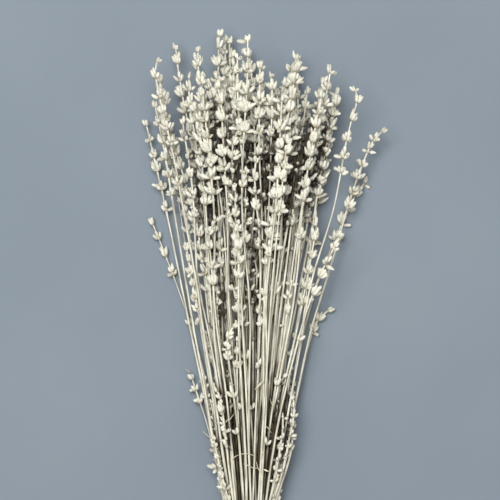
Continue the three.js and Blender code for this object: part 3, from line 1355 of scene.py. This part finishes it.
    def loosen(self) -> None:
        """Moves the lines apart where stems or spikes would run into each other, and off the table."""
        first = np.array([line.across for line in self.lines])
        spike_from = np.array([line.tip - line.spike for line in self.lines])[:, None]
        tips = np.array([line.tip for line in self.lines])[:, None]
        feet = np.array([line.foot for line in self.lines])[:, None]
        level = self.levels[None]
        flowering = smooth_rise(level, spike_from - 16, spike_from + 8)
        free = smooth_rise(np.abs(level - self.neck[1]), 25, 110)
        slim = self.stem_radius + self.stem_room * free
        radii = slim + (self.spike_radius - slim) * flowering
        floor = self.stem_radius + (self.spike_floor - self.stem_radius) * flowering
        present = (level < tips + 6) & (level > feet - self.level_pitch)
        pair = present[:, None] & present[None]
        pair[np.arange(len(first)), np.arange(len(first))] = False
        need = radii[:, None] + radii[None]
        framed = np.array([bool(line.node) for line in self.lines])
        near_neck = np.exp(-(((self.levels - self.neck[1]) / 80) ** 2))
        give = np.where(framed[:, None], 0.35 + 0.65 * near_neck[None], 1.0)[..., None]
        past_band = np.maximum(np.abs(self.levels - self.neck[1]) - 6, 0)
        room = self.neck_room - self.stem_radius + self.tie_splay * past_band
        tied = np.abs(self.levels - self.neck[1]) < self.tie_reach
        moved = np.zeros_like(first)
        for _ in range(self.rounds):
            now = first + moved
            gap = now[:, None] - now[None]
            away = np.sqrt((gap**2).sum(-1)) + 1e-6
            lack = np.where(pair, np.maximum(need - away, 0), 0)
            moved += (gap * (lack / away)[..., None]).sum(1) * self.push_share * give
            moved[:, 1:-1] = 0.2 * moved[:, :-2] + 0.6 * moved[:, 1:-1] + 0.2 * moved[:, 2:]
            now = first + moved
            from_neck = now - self.neck[[0, 2]]
            distance = np.linalg.norm(from_neck, axis=-1)
            outside = tied[None] & (distance > room[None])
            held = np.where(outside, room[None] / np.maximum(distance, 1e-6), 1.0)
            now = self.neck[[0, 2]] + from_neck * held[..., None]
            now[..., 1] = np.maximum(now[..., 1], floor)
            now[..., 1] = np.minimum(now[..., 1], self.high[2] - floor)
            moved = now - first
        for line, across in zip(self.lines, first + moved, strict=True):
            line.across = across

    def fine_path(self, line: Line, rng: np.random.Generator) -> Array:
        """Draws a smooth path along a line, with a small sway and a bent tip.

        Args:
            line: The line to follow.
            rng: The source of its small differences.

        Returns:
            The path's points, from the foot up.
        """
        count = max(12, int((line.tip - line.foot) / 4))
        rise = np.linspace(line.foot, line.tip, count)
        taps = np.exp(-0.5 * (np.arange(-4, 5) / 2.2) ** 2)
        taps /= taps.sum()
        path = np.empty((count, 3))
        path[:, 1] = rise
        for column, axis in enumerate((0, 2)):
            raw = np.interp(rise, self.levels, line.across[:, column])
            padded = np.concatenate([2 * raw[0] - raw[4:0:-1], raw, 2 * raw[-1] - raw[-2:-6:-1]])
            path[:, axis] = np.convolve(padded, taps, mode="valid")
            away = smooth_rise(np.abs(rise - self.neck[1]), 20, 120)
            sway = np.sin(rise / rng.uniform(*self.sway_lengths) + rng.uniform(0, 6))
            sway *= rng.uniform(*self.sway_sizes)
            lean = np.sin(rise / rng.uniform(*self.lean_lengths) + rng.uniform(0, 6))
            lean *= rng.uniform(*self.lean_sizes)
            path[:, axis] += sway * away + lean * smooth_rise(rise, self.neck[1] + 160, self.neck[1] + 330)
        part = np.clip((rise - line.tip + self.tip_bend_reach) / self.tip_bend_reach, 0, 1) ** 2
        straight = rng.random() < self.straight_share
        strength = rng.uniform(*(self.small_bends if straight else self.large_bends))
        angle = rng.uniform(0, FULL_TURN)
        path[:, 0] += part * strength * math.cos(angle)
        path[:, 2] += part * strength * math.sin(angle) * 0.7
        path[:, 1] -= part * strength * 0.3
        return path

    def build(self, patterns: Patterns) -> None:
        """Builds every sprig into its piece.

        Args:
            patterns: The small shapes to copy.
        """
        self.add_inner_lines()
        self.loosen()
        counts = dict.fromkeys(Kind, 0)
        for number, line in enumerate(self.lines):
            rng = np.random.default_rng(self.seed * 1000 + number)
            sprig = Sprig(line.kind, self.fine_path(line, rng), line.spike, self.seed * 1000 + number)
            counts[line.kind] += not line.node
            inner_name = f"inner_{line.kind.value}_sprig_{counts[line.kind]:02d}"
            heap = Heap(f"{line.node}_flowers", (line.node,)) if line.node else Heap(inner_name)
            sprig.build(heap, patterns)
            self.heaps.append(heap)
            self.sprigs.append(sprig)
        self.heaps.append(LooseBits(self.neck, self.sprigs).build(patterns))


@dataclass(frozen=True)
class Caught:
    """Where something small is caught in the bunch, from the tie: across, up, and which way it points."""

    across: float
    up: float
    turn: float = 0.0
    size: float = 1.0


@dataclass
class LooseBits:
    """The fibres, leaf ends and broken buds caught among the lower stems."""

    neck: Array
    sprigs: list[Sprig]
    fibre_radius: float = 0.4
    seed: int = 5
    fibres: tuple[tuple[tuple[float, float], ...], ...] = (
        ((-17, 104), (-13, 107.5), (-7, 110), (-1, 110.5), (4, 107.5)),
        ((-6, 101), (-1, 99), (3, 96.5), (7, 97)),
        ((10, 92), (7, 97), (5.5, 103)),
        ((20, 128), (16, 134), (9, 138)),
    )
    side_fibres: tuple[tuple[tuple[float, float], ...], ...] = (
        ((1.5, 82), (-2.5, 78), (-3, 72), (0.5, 66), (3.5, 60)),
        ((2, 118), (-2.5, 121), (-6, 126)),
    )
    leaf_ends: tuple[Caught, ...] = (
        Caught(0, 109, 2.5, 9.5),
        Caught(0, 97, 2.2, 6.5),
        Caught(1, 178, 2.35, 9),
    )
    top_leaves: tuple[Caught, ...] = (
        Caught(13, 108, 2.0, 6),
        Caught(12, 96, -0.4, 5.5),
        Caught(-20, 138, 1.3, 12),
        Caught(22, 150, 1.9, 11),
        Caught(4, 168, 0.8, 13),
    )
    broken_buds: tuple[Caught, ...] = (
        Caught(-26, 147, 1.6, 0.9),
        Caught(15, 118, 1.2, 0.75),
        Caught(-12, 128, 1.9, 0.7),
        Caught(24, 172, 1.4, 0.8),
        Caught(2, 150, 1.7, 0.75),
    )

    def __post_init__(self) -> None:
        """Gathers the stems' courses."""
        self.rng = np.random.default_rng(self.seed)
        self.courses = np.vstack([sprig.path for sprig in self.sprigs])

    def top_at(self, across: float, up: float) -> Array:
        """Finds the top of the stems at a place seen from above.

        Args:
            across: How far right of the tie, in millimetres.
            up: How far above the tie, in millimetres.

        Returns:
            The point on the highest stem near there.
        """
        place = self.neck[:2] + [across, up]
        near = np.abs(self.courses[:, 1] - place[1]) < 5
        close = near & (np.abs(self.courses[:, 0] - place[0]) < 2.6)
        height = self.courses[close, 2].max() if close.any() else self.courses[near, 2].max()
        return np.array([place[0], place[1], height + 1.3])

    def left_at(self, up: float) -> Array:
        """Finds the leftmost stem at a height above the tie."""
        level = self.courses[np.abs(self.courses[:, 1] - self.neck[1] - up) < 5]
        return level[np.argmin(level[:, 0])]

    def add_fibre(self, heap: Heap, points: Array) -> None:
        """Adds one stiff fibre through the points given.

        Args:
            heap: The piece to add to.
            points: The points that it passes.
        """
        marks = np.linspace(0, 1, len(points))
        fine = np.linspace(0, 1, 30)
        path = np.stack([np.interp(fine, marks, points[:, axis]) for axis in range(3)], axis=-1)
        taps = np.array([1, 3, 5, 3, 1]) / 13
        for _ in range(6):
            padded = np.vstack([path[:1], path[:1], path, path[-1:], path[-1:]])
            path = np.stack([np.convolve(padded[:, axis], taps, mode="valid") for axis in range(3)], axis=-1)
        radii = self.fibre_radius * (1 - 0.35 * fine**2)
        rod = sweep(path, radii, 6, 0.0, np.zeros(len(path)), 0.0)
        tone = np.array([self.rng.uniform(0.6, 1.0)])
        heap.add(rod, rod.points[None], rod.points[None], tone, Finish.LEAF, 0.3)

    def build(self, patterns: Patterns) -> Heap:
        """Builds every loose bit into one piece.

        Args:
            patterns: The small shapes to copy.

        Returns:
            The piece.
        """
        heap = Heap("loose_bits")
        for route in self.fibres:
            self.add_fibre(heap, np.array([self.top_at(across, up) for across, up in route]))
        for route in self.side_fibres:
            points = [self.left_at(up) + [across, 0, 0] for across, up in route]
            self.add_fibre(heap, np.array(points))
        for spot in self.leaf_ends:
            foot = self.left_at(spot.up) + [spot.across, 0, 0]
            self.add_bit_of_leaf(heap, patterns, foot, spot)
        for spot in self.top_leaves:
            self.add_bit_of_leaf(heap, patterns, self.top_at(spot.across, spot.up), spot)
        for spot in self.broken_buds:
            self.add_broken_whorl(heap, patterns, self.top_at(spot.across, spot.up), spot)
        self.add_broken_whorl(heap, patterns, self.left_at(90) + [-0.5, 0, 0], Caught(0, 90, 2.75, 0.95))
        return heap

    def add_bit_of_leaf(self, heap: Heap, patterns: Patterns, foot: Array, spot: Caught) -> None:
        """Adds the end of a leaf.

        Args:
            heap: The piece to add to.
            patterns: The small shapes to copy.
            foot: Where it is caught.
            spot: Its turn and length.
        """
        way = np.array([math.cos(spot.turn), math.sin(spot.turn), 0.12])
        add_leaf(heap, patterns.leaf, foot, unit(way), self.rng, spot.size, self.rng.uniform(0.55, 0.9))

    def add_broken_whorl(self, heap: Heap, patterns: Patterns, foot: Array, spot: Caught) -> None:
        """Adds a few buds broken off with their foot.

        Args:
            heap: The piece to add to.
            patterns: The small shapes to copy.
            foot: Where they are caught.
            spot: Their turn and size.
        """
        way = unit(np.array([math.cos(spot.turn), math.sin(spot.turn), 0.1]))
        stub = Sprig(Kind.THIN, np.linspace(foot - way * 9, foot + way * 9, 6), 8, int(spot.up * 10))
        stub.tone = 0.9
        stub.add_ring(heap, patterns, foot, way, 0.4, 4, spot.size, 0.42)
        stub.add_bracts(heap, patterns.bract, foot - way * 0.5, way, 1.1, spot.size)


@dataclass
class RubberBand:
    """A thin rubber band wound three times round the stems, in one closed loop."""

    low: Array
    high: Array
    turns: int = 3
    strand_width: float = 1.9
    strand_thickness: float = 1.3
    points_a_turn: int = 72
    crossing: float = 0.34
    lift: float = 1.5

    def route(self) -> Array:
        """Draws the loop's centre line.

        Returns:
            The points of one closed loop.
        """
        centre = (self.low + self.high) / 2
        radius = (self.high[0] - self.low[0]) / 2 - self.strand_thickness / 2 - 0.1
        count = self.turns * self.points_a_turn
        part = np.arange(count) / count
        turn = part * self.turns * FULL_TURN + math.pi * 0.62
        spread = (self.high[1] - self.low[1]) / 2 - self.strand_width / 2
        back = smooth_rise(part, 1 - self.crossing / self.turns, 1)
        across = -spread + 2 * spread * np.clip(part / (1 - self.crossing / self.turns), 0, 1)
        across = across * (1 - back) - spread * back
        hump = np.sin(np.clip(back, 0, 1) * math.pi) * self.lift
        x = centre[0] + (radius + hump) * np.cos(turn)
        z = centre[2] + (radius + hump) * np.sin(turn)
        return np.column_stack([x, centre[1] + across, z])

    def build(self, finish: bpy.types.Material) -> bpy.types.Object:
        """Makes the band.

        Args:
            finish: Its material.

        Returns:
            The object.
        """
        path = self.route()
        centre = (self.low + self.high) / 2
        way = unit(np.roll(path, -1, axis=0) - np.roll(path, 1, axis=0))
        outward = path - centre
        outward[:, 1] = 0
        outward = unit(outward)
        side = unit(np.cross(way, outward))
        sides = 12
        turn = np.arange(sides) * FULL_TURN / sides
        flat = np.sign(np.cos(turn)) * np.abs(np.cos(turn)) ** 0.7 * self.strand_width / 2
        tall = np.sign(np.sin(turn)) * np.abs(np.sin(turn)) ** 0.7 * self.strand_thickness / 2
        ring = path[:, None] + side[:, None] * flat[None, :, None] + outward[:, None] * tall[None, :, None]
        count = len(path)
        here = np.arange(sides)
        there = (here + 1) % sides
        rows = np.arange(count)[:, None] * sides
        after = (rows + sides) % (count * sides)
        quads = np.stack([rows + here, after + here, after + there, rows + there], axis=-1).reshape(-1, 4)
        name = "wound_rubber_band"
        mesh = bpy.data.meshes.new(name)
        points = ring.reshape(-1, 3)
        points[:, 2] = np.maximum(points[:, 2], TABLE_GAP)
        mesh.from_pydata((points * MM).tolist(), [], quads.tolist())
        mesh.polygons.foreach_set("use_smooth", np.ones(len(quads), bool))
        made = new_object(name, mesh, [finish])
        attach(made, ROOT)
        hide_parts(BAND_NODE)
        return made


# ---------------------------------------------------------------- the studio


@dataclass
class Studio:
    """The plain floor, the soft lights and the camera."""

    target: Array
    view_width: float = 0.45
    mid_height: float = 0.055
    camera_height: float = 2.2
    floor_half: float = 3.0
    key_place: tuple[float, float, float] = (-0.3, 0.42, 2.35)
    key_size: float = 1.1
    key_power: float = 63.0
    fill_place: tuple[float, float, float] = (1.2, -0.9, 2.0)
    fill_size: float = 1.4
    fill_power: float = 5.0
    sky: Colour = (1.0, 0.965, 0.9, 1.0)
    world_strength: float = 0.25
    seen_strength: float = 0.62

    def build(self) -> None:
        """Builds the studio."""
        self.add_floor()
        self.add_lights()
        self.add_camera()
        bpy.context.scene.view_settings.view_transform = "Standard"

    def add_floor(self) -> None:
        """Lays the floor."""
        half = self.floor_half
        corners = [(-half, -half, 0), (half, -half, 0), (half, half, 0), (-half, half, 0)]
        mesh = bpy.data.meshes.new("floor")
        mesh.from_pydata(corners, [], [(0, 1, 2, 3)])
        new_object("floor", mesh, [FloorFinish().make()])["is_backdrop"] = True

    def add_light(self, name: str, offset: tuple[float, float, float], size: float, power: float) -> None:
        """Hangs a square soft light that faces the target.

        Args:
            name: The light's name.
            offset: Where it hangs, from the target.
            size: The length of its side.
            power: Its power in watts.
        """
        lamp = bpy.data.lights.new(name, "AREA")
        lamp.energy = power
        lamp.size = size
        made = bpy.data.objects.new(name, lamp)
        made.location = Vector(self.target) + Vector(offset)
        made.rotation_euler = Vector(offset).to_track_quat("Z", "Y").to_euler()
        bpy.context.scene.collection.objects.link(made)

    def add_lights(self) -> None:
        """Hangs the key and fill lights, and sets the sky."""
        self.add_light("key", self.key_place, self.key_size, self.key_power)
        self.add_light("fill", self.fill_place, self.fill_size, self.fill_power)
        world = bpy.data.worlds.new("studio")
        world.use_nodes = True
        back = world.node_tree.nodes["Background"]
        back.inputs["Color"].default_value = self.sky
        bench = Bench(world.node_tree)
        sight = bench.node("ShaderNodeLightPath").outputs["Is Camera Ray"]
        limits = {3: self.world_strength, 4: self.seen_strength}
        strength = bench.node("ShaderNodeMapRange", {0: sight, **limits})
        bench.feed(back.inputs["Strength"], strength.outputs[0])
        bpy.context.scene.world = world

    def add_camera(self) -> None:
        """Sets the camera straight above the bunch."""
        lens = bpy.data.cameras.new("camera")
        lens.sensor_width = 36.0
        lens.lens = lens.sensor_width * (self.camera_height - self.mid_height) / self.view_width
        camera = bpy.data.objects.new("camera", lens)
        camera.location = (self.target[0], self.target[1], self.camera_height)
        bpy.context.scene.collection.objects.link(camera)
        bpy.context.scene.camera = camera


def plant_finishes(effects: Effects) -> list[bpy.types.Material]:
    """Makes the plant's materials, in the order of Finish.

    Args:
        effects: The shared shader effects.

    Returns:
        The materials.
    """
    # The dark colour of the painted shade deep inside the bunch, and of the dark flecks.
    shade_and_fleck_colour = screen_colour(50, 41, 27)
    finishes = [
        PlantFinish(
            "bleached bud",
            pale=screen_colour(236, 235, 220),
            brown=screen_colour(150, 138, 110),
            shade_and_fleck_colour=shade_and_fleck_colour,
            foot_reach=0.48,
            sheen=0.15,
        ),
        PlantFinish(
            "bleached stem",
            pale=screen_colour(234, 232, 215),
            brown=screen_colour(138, 127, 100),
            shade_and_fleck_colour=shade_and_fleck_colour,
            foot_reach=0.02,
            groove_shade=0.8,
            patch_scale=60.0,
            dark_below=0.2,
            pale_above=0.42,
            rib_across=2.2,
            rib_lengthwise=0.05,
        ),
        PlantFinish(
            "papery bract",
            pale=screen_colour(206, 194, 160),
            brown=screen_colour(128, 108, 74),
            shade_and_fleck_colour=shade_and_fleck_colour,
            foot_reach=0.7,
            rib_across=4.0,
        ),
        PlantFinish(
            "curled leaf",
            pale=screen_colour(222, 216, 190),
            brown=screen_colour(142, 126, 92),
            shade_and_fleck_colour=shade_and_fleck_colour,
            foot_reach=0.3,
            rib_across=3.0,
        ),
        PlantFinish(
            "cut pith",
            pale=screen_colour(214, 200, 164),
            brown=screen_colour(150, 128, 88),
            shade_and_fleck_colour=shade_and_fleck_colour,
            foot_reach=0.02,
            patch_scale=900.0,
            patch_strength=0.8,
        ),
    ]
    return [finish.make(effects) for finish in finishes]


def main() -> None:
    """Loads the frame, builds each part of the bunch and its studio, and logs each piece's face count."""
    logging.basicConfig(level=logging.INFO, format="%(message)s")
    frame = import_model()
    bunch = Bunch(frame["nodes"])
    bunch.build(Patterns())
    # How open the bunch is at each place, for the painted shade inside it.
    shade = Shade(bunch.low, bunch.high)
    shade.fill(bunch.heaps)
    shade.settle()
    room = np.array([bunch.low - ROOM_BELOW, bunch.high + ROOM_ABOVE])
    room[0, 2] = TABLE_GAP
    finishes = plant_finishes(Effects())
    for heap in bunch.heaps:
        piece = heap.make(finishes, shade, room)
        LOG.info("%s: %d faces", piece.name, len(piece.data.polygons))
    band_low, band_high = (np.array(corner) * 1000 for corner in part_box(BAND_NODE))
    band = RubberBand(band_low, band_high).build(RubberFinish().make())
    LOG.info("%s: %d faces", band.name, len(band.data.polygons))
    target = np.array([bunch.neck[0], bunch.neck[1] + VIEW_REACH, 0]) * MM
    Studio(target).build()


if __name__ == "__main__":
    main()
